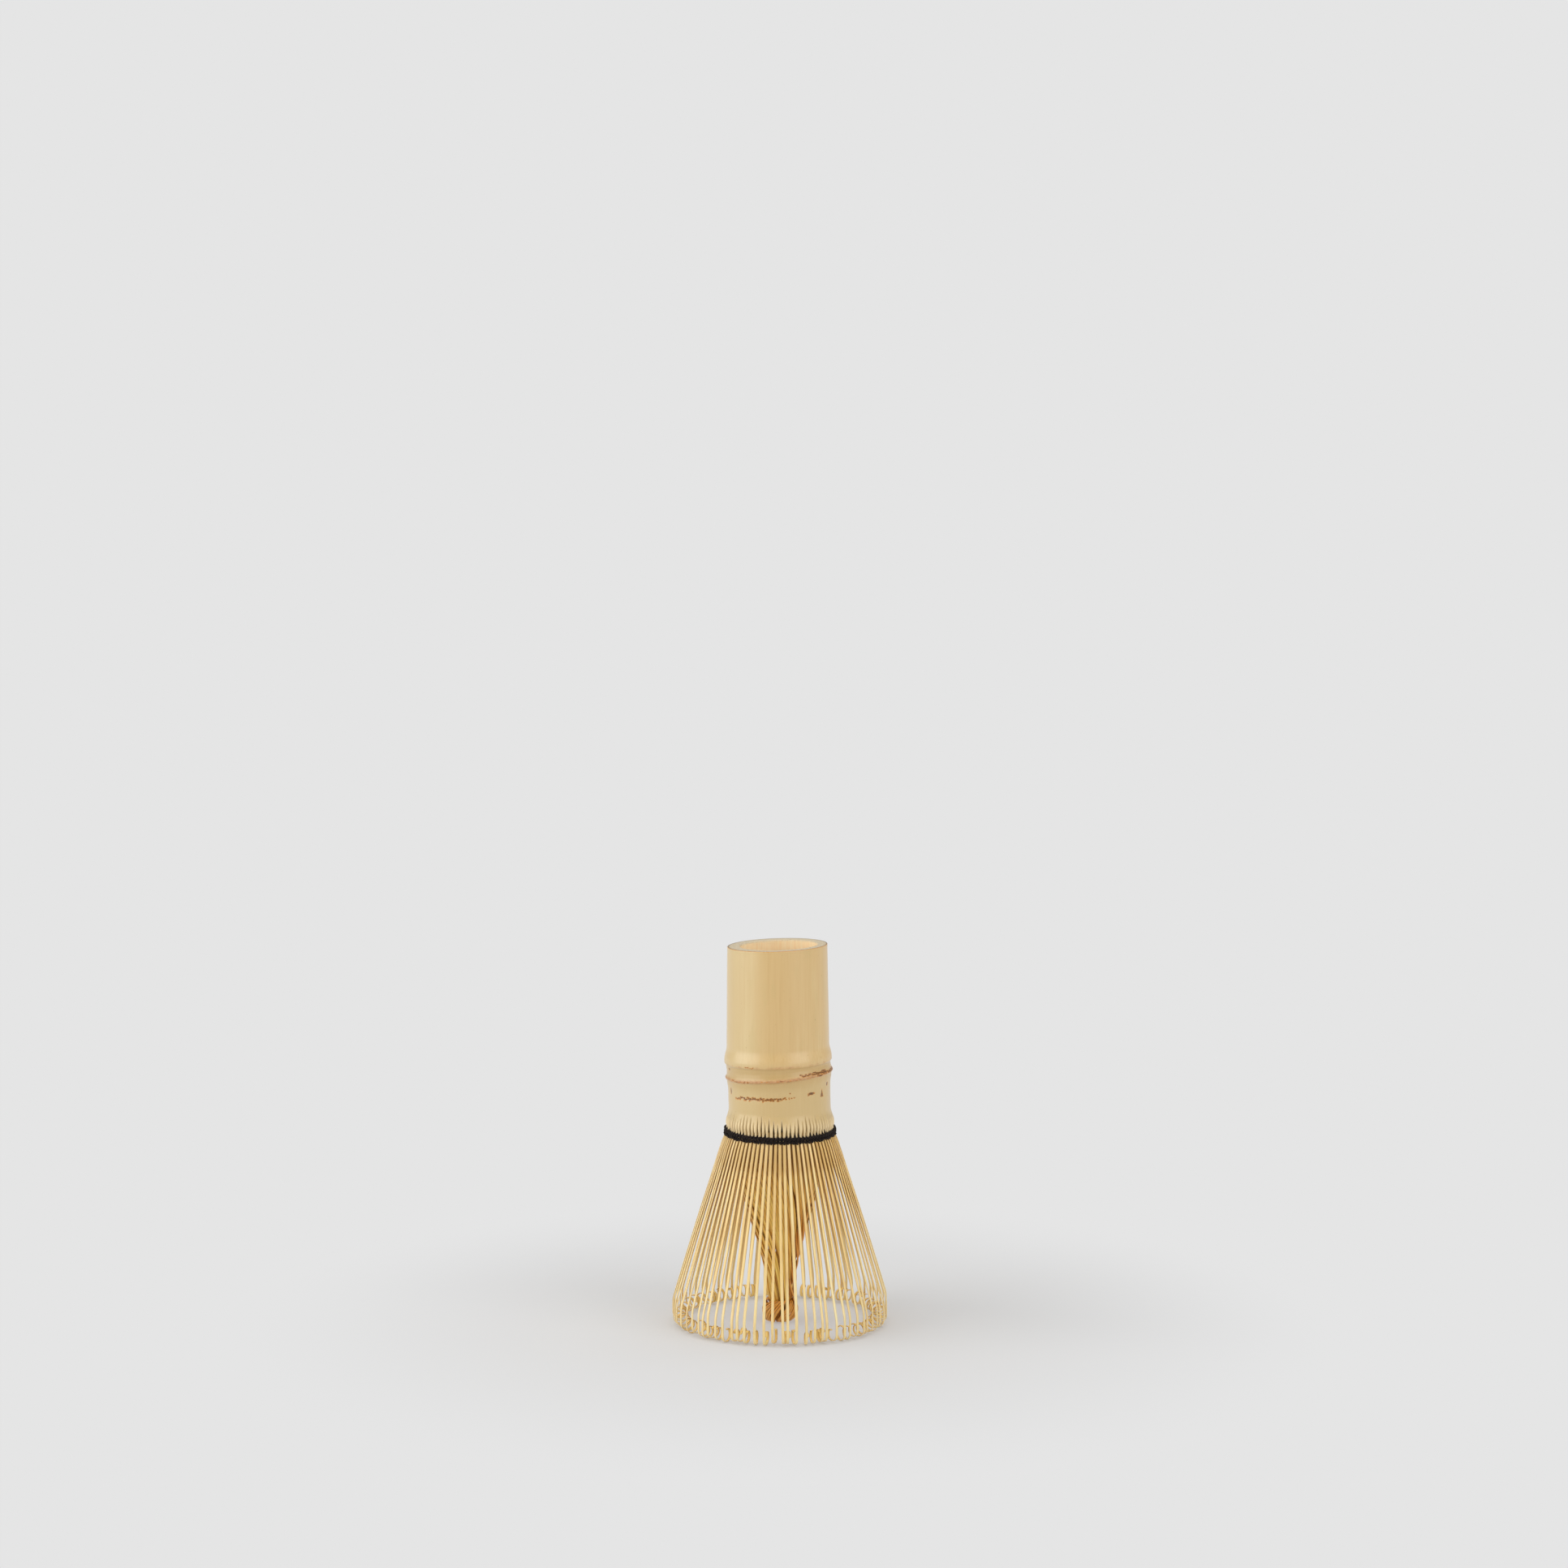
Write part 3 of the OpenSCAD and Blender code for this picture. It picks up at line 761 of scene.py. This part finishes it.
def add_outer_tine(strands, rng, place, tine, way):
    """place is the tine's seat in its section, -2 to 2; the end tines lean only towards its middle."""
    ring_r = RING_R - 0.06 - abs(rng.gauss(0, 0.22))
    rows, bend = tine_line(rng, ring_r, CURL_R * rng.uniform(0.84, 1.04), CURL_TURN * rng.uniform(0.84, 1.1),
                           rng.uniform(0.7, 0.9))
    r, z, lean = rows.T
    edge = abs(place) == 2
    shift = curl_drift(rng, place, way)
    twist_end = np.sign(shift) * math.radians(rng.choice(CURL_TWISTS) * rng.uniform(0.6, 1.2))
    drift = -np.sign(place) * rng.uniform(0, 0.2) * PITCH if edge else rng.gauss(0, 0.24) * PITCH
    # down runs from 0 at the thread to 1 at the floor, ahead from 0 at the bend to 1 at the tip
    down = np.clip((TINE_TOP - z) / TINE_TOP, 0, 1)
    count = len(r)
    ahead = np.clip((np.arange(count) - bend) / (count - bend), 0, 1)
    angle = tine * PITCH + slit_leans[tine % TINES] * 0.5 + drift * down ** 1.3
    twist = twist_end * ease(ahead * 2.2)
    turn = angle + twist
    radial = np.stack([np.cos(turn), np.sin(turn), 0 * turn], -1)
    side = np.stack([-np.sin(turn), np.cos(turn), 0 * turn], -1)
    # past the bend the tine turns about the line that goes down from it
    hub_r = np.where(np.arange(count) < bend, r, r[bend])
    hub = np.stack([hub_r * np.cos(angle), hub_r * np.sin(angle), z], -1)
    slide = shift * ease((ahead - 0.28) / 0.34)
    centres = hub + radial * (r - hub_r)[:, None] + side * slide[:, None]
    upward = np.array([0, 0, 1.0])
    normal = radial * np.cos(lean)[:, None] + upward * np.sin(lean)[:, None]
    roll = rng.gauss(0, 0.07)
    face = normal * np.cos(roll) + side * np.sin(roll)
    across = side * np.cos(roll) - normal * np.sin(roll)
    thick = mix(0.5, 0.8, ease(down / 0.02)) - 0.38 * ease(down / 0.3)
    thick = mix(thick, TIP_T, ease((down - 0.3) / 0.6)) * rng.uniform(0.92, 1.08)
    width = mix(0.94, 0.84, ease(down / 0.5))
    width = mix(width, 0.77, ease((down - 0.45) / 0.45)) * rng.uniform(0.9, 1.05)
    close = np.where(np.arange(count) == count - 1, 0.55, 1.0)
    tip = 0.72 * ease((ahead - 0.42) / 0.2)
    strands.sweep(centres, face, across, thick / 2 * close, width / 2 * close, BAR, rng.uniform(0, 99), tip)


def build_outer_tines():
    rng = random.Random(OUTER_SEED)
    for section, node in enumerate(outer_nodes):
        strands = Strands()
        way = rng.choice((-1, 1))
        for place in range(-2, 3):
            add_outer_tine(strands, rng, place, section * SECTION_TINES + place, way)
        piece = strands.piece(node + "_shaved", OUTER, "bamboo_outer_tines")
        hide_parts(node)
        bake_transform(piece)


# ---- Inner tines ----

CORE_R = 12.2               # ring of inner tines at the thread
NECK_LOW_R, NECK_HIGH_R = 1.3, 3.3
NECK_Z = 8.0
CORE_TWIST = math.radians(95)
CLUMP_PULL = 0.32           # how far strands of a clump draw together
INNER_SEED = 160
BUNDLE = range(62, 74)      # inner tines on the right, gathered like a rope
BUNDLE_R, BUNDLE_OUT = 1.0, 0.3
BUNDLE_TURN = 2.4 * TAU
BUNDLE_BROWN = 0.72
GOLDEN = 0.382              # share of a turn between one strand of the rope and the next
BUNDLE_MIDDLE = BUNDLE[0] + (len(BUNDLE) - 1) / 2


def core_control(rng, inset, swirl, wide):
    """Control rows (radius, height, turn) of an inner tine, from its root to its curled tip.

    swirl is how far the tip runs round the knob, and wide how far the knob stands out there.
    """
    layer = rng.random() ** 0.6
    neck_r = mix(NECK_LOW_R, NECK_HIGH_R, layer) + rng.uniform(-0.15, 0.25)
    rows = [(CORE_R + 0.2, 56.0, 0.0), (CORE_R + 0.1, 54.2, 0.0)]
    for v in (0.95, 0.82, 0.68, 0.54, 0.42, 0.3, 0.2, 0.1, 0.0):
        inward = mix(neck_r - NECK_HIGH_R, 0.0, min(v / 0.5, 1))
        inward -= inset * math.sin(math.pi * min(v / 0.75, 1))
        rows.append((mix(NECK_HIGH_R, CORE_R, math.sin(math.pi / 2 * v) ** 1.5) + inward,
                     mix(NECK_Z, CORE_TOP, v), 0.72 * CORE_TWIST * (1 - v) ** 1.6))
    spin = CORE_TWIST * 0.72
    lift = rng.uniform(-0.25, 0.25)
    wide = wide + rng.uniform(-0.12, 0.12)
    rows += [(neck_r * 0.8, 5.4, spin + 0.12), (neck_r * 0.72 + 0.1, 3.1, spin + 0.2),
             (neck_r * 0.5 + 1.2, 0.85 + 0.3 * rng.random(), spin + 0.25 * swirl)]
    if rng.random() < 0.25:                      # a short tip that ends under the knob
        return np.array(rows + [(3.0 + wide, 0.8 + 0.4 * rng.random(), spin + 0.45 * swirl),
                                (3.5 + wide, 2.6 + lift, spin + 0.6 * swirl)])
    rows += [(3.35 + wide, 0.5 + 0.35 * rng.random(), spin + 0.42 * swirl),
             (4.45 + wide, 2.1 + lift * 0.5, spin + 0.65 * swirl),
             (4.75 + wide, 3.9 + lift, spin + 0.95 * swirl),
             (4.2 + wide, 5.5 + lift, spin + 1.3 * swirl)]
    if rng.random() < 0.7:                       # a long tip that curls back in over the knob
        rows += [(3.3 + wide, 6.3 + lift, spin + 1.6 * swirl), (2.75, 5.8 + lift, spin + 1.8 * swirl)]
    return np.array(rows)


def bundle_place(seat, down):
    """Shift of a strand of the rope, outwards and round the core in millimetres, and how far it is held."""
    k = seat - BUNDLE[0]
    held = ease((down - 0.22) / 0.3) * (1 - ease((down - 0.84) / 0.08))
    phase = BUNDLE_TURN * down + TAU * GOLDEN * k
    size = BUNDLE_R * math.sqrt((k + 0.5) / len(BUNDLE))
    return held * (BUNDLE_OUT + size * np.cos(phase)), held * size * np.sin(phase), held


def add_inner_tine(strands, rng, tine, pull, inset, swirl, wide):
    """pull is the angle that draws the strand to the middle of its clump, lower down."""
    line = smooth_line(core_control(rng, inset, swirl, wide), 5)
    r, z, turn = line.T
    down = np.clip((CORE_TOP - z) / CORE_TOP, 0, 1)
    gather = pull * ease((down - 0.35) / 0.45)
    held = 0 * down
    seat = tine % TINES
    if seat in BUNDLE:
        out, round_mm, held = bundle_place(seat, down)
        r = mix(r, r + inset, held) + out
        turn = turn * (1 - 0.6 * held)
        gather = mix(gather, (BUNDLE_MIDDLE - seat) * PITCH, held) + round_mm / np.maximum(r, 2)
    angle = (tine + 0.5) * PITCH + turn + gather + rng.gauss(0, 0.12) * PITCH * down
    centres = np.stack([r * np.cos(angle), r * np.sin(angle), z], -1)
    tangent = unit(np.gradient(centres, axis=0))
    around = np.stack([-np.sin(angle), np.cos(angle), 0 * angle], -1)
    normal = unit(np.cross(around, tangent))
    across = np.cross(tangent, normal)
    width = mix(0.9, 0.8, ease(down / 0.35))
    width = mix(width, 0.52, ease((down - 0.4) / 0.4)) * rng.uniform(0.88, 1.12)
    thick = mix(0.5, 0.28, ease(down / 0.5))
    count = len(r)
    ahead = np.arange(count) / (count - 1)
    close = np.where(ahead == 1, 0.5, 1.0)
    tip = np.maximum(0.7 * ease((ahead - 0.6) / 0.2), BUNDLE_BROWN * held)
    strands.sweep(centres, normal, across, thick / 2 * close, width / 2 * close, BAR, rng.uniform(0, 99), tip)


def clump_plan(rng):
    """For each inner tine: the angle that draws it to its clump, its inset, swirl and width in the knob."""
    plan, start = [], 0
    while start < TINES:
        size = min(rng.randint(3, 8), TINES - start)
        middle = (size - 1) / 2
        inset = rng.uniform(0.0, 0.6)
        swirl = rng.uniform(0.72, 0.95)
        wide = rng.uniform(0.05, 0.5)
        for k in range(size):
            plan.append((CLUMP_PULL * (middle - k) * PITCH, inset + rng.uniform(-0.25, 0.25), swirl, wide))
        start += size
    return plan


def build_inner_tines():
    rng = random.Random(INNER_SEED)
    plan = clump_plan(rng)
    for section, node in enumerate(inner_nodes):
        strands = Strands()
        for place in range(-2, 3):
            tine = section * SECTION_TINES + place
            add_inner_tine(strands, rng, tine, *plan[tine % TINES])
        piece = strands.piece(node + "_shaved", INNER, "bamboo_inner_tines")
        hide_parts(node)
        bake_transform(piece)


# ---- Thread ----

PLY_R, PLY_SWING = 0.27, 0.28
TURN_DROP = 0.46            # the band sits this much below the CAD turns, pulled tight
TURN_GAP = 1.0
BAND_Z = (UPPER_TURN_Z + LOWER_TURN_Z) / 2 - TURN_DROP
TURN_RINGS = 9              # rings of mesh to one twist
UPPER_TWISTS, LOWER_TWISTS, INNER_TWISTS = 47, -53, 41
TUCK_RISES = (0.25, 0.4, 0.7, 1.1)
SAG_SEED, TUCK_SEED = 9, 54
KNOT_SCALE, KNOT_CORD_R = 0.3, 0.24


def thread_sag(angle):
    """The band hangs a little lower in front, and wanders."""
    return -0.28 * np.cos(angle) + waves(angle, random.Random(SAG_SEED), (TAU / 2, TAU / 5, TAU / 11), 0.09)


def add_turn(strands, radius, height, twists, sag=True):
    """One turn of two-ply thread, a little bumpy where it crosses each tine."""
    rings = abs(twists) * TURN_RINGS
    angle = np.arange(rings + 1) * TAU / rings
    for ply in (0, math.pi):
        phase = twists * angle + ply
        r = radius + PLY_SWING * np.cos(phase) + 0.1 * np.cos(TINES * angle)
        z = height + PLY_SWING * np.sin(phase) + (thread_sag(angle) if sag else 0)
        z = z - 0.07 * np.cos(TINES * angle + 0.4)
        centres = round_axis(r, angle, z)
        tangent = np.gradient(centres, axis=0)
        tangent[0] = tangent[-1] = centres[1] - centres[-2]
        tangent = unit(tangent)
        out = round_axis(1, angle, 0 * angle)
        normal = unit(out - tangent * np.sum(out * tangent, axis=1)[:, None])
        size = PLY_R * (1 + 0.16 * np.cos(TINES * angle) + 0.06 * np.sin(31 * angle + ply))
        strands.sweep(centres, normal, np.cross(tangent, normal), size, size, ROUND, ply + height)


def add_tuck(strands, slit, rng):
    """Where the thread dips inwards between two tines, it is pulled up into the slit."""
    middle, _, _ = slit_shape(slit, BAND_Z)
    rise = rng.choice(TUCK_RISES) * rng.uniform(0.7, 1.2)
    top = BAND_Z + TURN_GAP / 2 + 0.35 + thread_sag(np.array([middle]))[0]
    z = np.array([top - 0.8, top, top + 0.5 * rise, top + rise])
    r = np.array([15.2, 15.15, 14.95, 14.8])
    out = np.array([math.sin(middle), -math.cos(middle), 0.0])
    side = np.array([math.cos(middle), math.sin(middle), 0.0])
    centres = out * r[:, None] + np.array([0, 0, 1.0]) * z[:, None]
    size = np.array([0.26, 0.24, 0.18, 0.07])
    strands.sweep(centres, np.tile(out, (4, 1)), np.tile(side, (4, 1)), size, size, ROUND, slit)


def build_thread():
    """The two turns round the outside, with their tucks, and the turn between the rings of roots."""
    rng = random.Random(TUCK_SEED)
    seat = THREAD_OUT_R - PLY_R - PLY_SWING
    for name, node, height, twists in (
            ("thread_upper", "thread_upper_turn", BAND_Z + TURN_GAP / 2, UPPER_TWISTS),
            ("thread_lower", "thread_lower_turn", BAND_Z - TURN_GAP / 2, LOWER_TWISTS)):
        strands = Strands()
        add_turn(strands, seat, height, twists)
        if height > BAND_Z:
            for slit in range(TINES):
                add_tuck(strands, slit, rng)
        piece = strands.piece(name + "_cord", THREAD, "thread")
        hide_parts(node)
        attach(piece, "root")
    inner = Strands()
    add_turn(inner, INNER_TURN_OUT_R - PLY_R - 0.1, LOWER_TURN_Z, INNER_TWISTS, sag=False)
    piece = inner.piece("thread_inner_cord", THREAD, "thread")
    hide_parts("thread_inner_turn")
    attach(piece, "root")


def build_knot():
    """A small overhand knot at the back, with two cut ends."""
    low, high = box_mm("thread_knot")
    middle = (low + high) / 2
    strands = Strands()
    t = np.linspace(0, TAU, 73)
    knot = np.stack([np.sin(t) + 2 * np.sin(2 * t), -0.9 * np.sin(3 * t), np.cos(t) - 2 * np.cos(2 * t)], -1)
    ends = [np.array([(0.2, 0.1, -0.6), (0.9, 0.5, -1.6), (1.5, 0.5, -2.9), (1.7, 0.2, -4.1)]),
            np.array([(-0.2, 0.2, -0.6), (-0.9, 0.6, -1.5), (-1.3, 0.7, -2.6), (-1.1, 0.6, -3.4)])]
    for line in [knot] + [smooth_line(end, 6) for end in ends]:
        centres = middle + line * KNOT_SCALE
        tangent = unit(np.gradient(centres, axis=0))
        normal = unit(np.cross(tangent, np.array([0.3, 1.0, 0.2])))
        thick = np.full(len(line), KNOT_CORD_R)
        strands.sweep(centres, normal, np.cross(tangent, normal), thick, thick, ROUND, 7.0)
    piece = strands.piece("thread_knot_cord", THREAD, "thread")
    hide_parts("thread_knot")
    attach(piece, "root")


# ---- Studio ----

# Distances here are in metres, apart from the camera's
BACKDROP = srgb(229, 229, 229)
FLOOR_ALBEDO = 0.665
FLOOR_HALF = 3.0
FADE_START, FADE_END = 0.055, 0.16   # the floor turns into backdrop over this distance from the whisk
PAINTED_UNDER_GLOW = 0.42           # painted light: the floor glows inside the ring of tines, lightening the shade there
AMBIENT = 0.56              # light from the surroundings, as a share of the backdrop
CAMERA_MM = (1.1, -950, 235.9)
CAMERA_DOWN = 5.075         # degrees below level
CAMERA_LENS = 78.94


def build_floor():
    """A pale floor that fades into the backdrop away from the whisk, and glows inside the ring of tines as
    painted light.
    """
    corners = [(FLOOR_HALF * x, FLOOR_HALF * y, 0) for x, y in ((-1, -1), (1, -1), (1, 1), (-1, 1))]
    mesh = bpy.data.meshes.new("floor")
    mesh.from_pydata(corners, [], [(0, 1, 2, 3)])
    n = Nodes("floor")
    where = n.add("ShaderNodeTexCoord").outputs["Object"]
    reach = n.add("ShaderNodeVectorMath", operation="LENGTH")
    n.plug(where, reach.inputs[0])
    glow = n.add("ShaderNodeEmission")
    glow.inputs["Color"].default_value = BACKDROP
    both = n.add("ShaderNodeMixShader")
    far = n.range(reach.outputs["Value"], FADE_START, FADE_END)
    # the painted glow inside the ring of tines
    under = n.range(reach.outputs["Value"], 0.02, 0.036, PAINTED_UNDER_GLOW, 0.0)
    n.plug(n.math("ADD", far, under), both.inputs[0])
    n.finish((FLOOR_ALBEDO, FLOOR_ALBEDO, FLOOR_ALBEDO, 1), 0.9, Specular_IOR_Level=0.1)
    n.plug(n.shader.outputs[0], both.inputs[1])
    n.plug(glow.outputs[0], both.inputs[2])
    n.plug(both.outputs[0], n.tree.nodes["Material Output"].inputs["Surface"])
    mesh.materials.append(n.material)
    floor = bpy.data.objects.new("floor", mesh)
    bpy.context.scene.collection.objects.link(floor)


def add_light(name, wide, tall, radiance, place, turn=(0, 0, 0)):
    """A soft rectangular light that faces down unless it is turned, and isn't seen itself."""
    light = bpy.data.lights.new(name, "AREA")
    light.shape, light.size, light.size_y = "RECTANGLE", wide, tall
    light.energy = radiance * math.pi * wide * tall
    lamp = bpy.data.objects.new(name, light)
    lamp.location, lamp.rotation_euler = place, turn
    lamp.visible_camera = False
    bpy.context.scene.collection.objects.link(lamp)


def add_softbox(name, azimuth, low, high, wide, far, radiance):
    """An upright light, from low to high, facing the whisk; azimuth runs from the front towards +X."""
    a = math.radians(azimuth)
    add_light(name, wide, high - low, radiance,
              (far * math.sin(a), -far * math.cos(a), (low + high) / 2), (math.pi / 2, 0, a))


def build_world():
    """The backdrop's grey to the eye, and a dimmer grey as light."""
    world = bpy.data.worlds.new("backdrop")
    world.use_nodes = True
    tree = world.node_tree
    seen = tree.nodes["Background"]
    seen.inputs["Color"].default_value = BACKDROP
    lit = tree.nodes.new("ShaderNodeBackground")
    lit.inputs["Color"].default_value = BACKDROP
    lit.inputs["Strength"].default_value = AMBIENT
    path = tree.nodes.new("ShaderNodeLightPath")
    either = tree.nodes.new("ShaderNodeMixShader")
    tree.links.new(path.outputs["Is Camera Ray"], either.inputs[0])
    tree.links.new(lit.outputs[0], either.inputs[1])
    tree.links.new(seen.outputs[0], either.inputs[2])
    tree.links.new(either.outputs[0], tree.nodes["World Output"].inputs["Surface"])
    bpy.context.scene.world = world


def build_studio():
    """The surroundings, three soft lights and the camera."""
    scene = bpy.context.scene
    scene.view_settings.view_transform = "Standard"
    build_world()
    add_softbox("softbox_left", azimuth=-74, low=0.0, high=1.3, wide=1.5, far=1.3, radiance=2.1)
    add_softbox("softbox_right", azimuth=50, low=0.1, high=1.2, wide=1.1, far=1.3, radiance=1.9)
    add_light("overhead", wide=1.2, tall=1.2, radiance=2.5, place=(0, 0, 1.6))
    camera_data = bpy.data.cameras.new("camera")
    camera_data.sensor_width, camera_data.lens = 36, CAMERA_LENS
    camera_data.clip_end = 20
    camera = bpy.data.objects.new("camera", camera_data)
    camera.location = [distance * MM for distance in CAMERA_MM]
    camera.rotation_euler = (math.radians(90 - CAMERA_DOWN), 0, 0)
    scene.collection.objects.link(camera)
    scene.camera = camera


build_culm()
build_culm_wall()
build_septum()
build_outer_tines()
build_inner_tines()
build_thread()
build_knot()
build_floor()
build_studio()
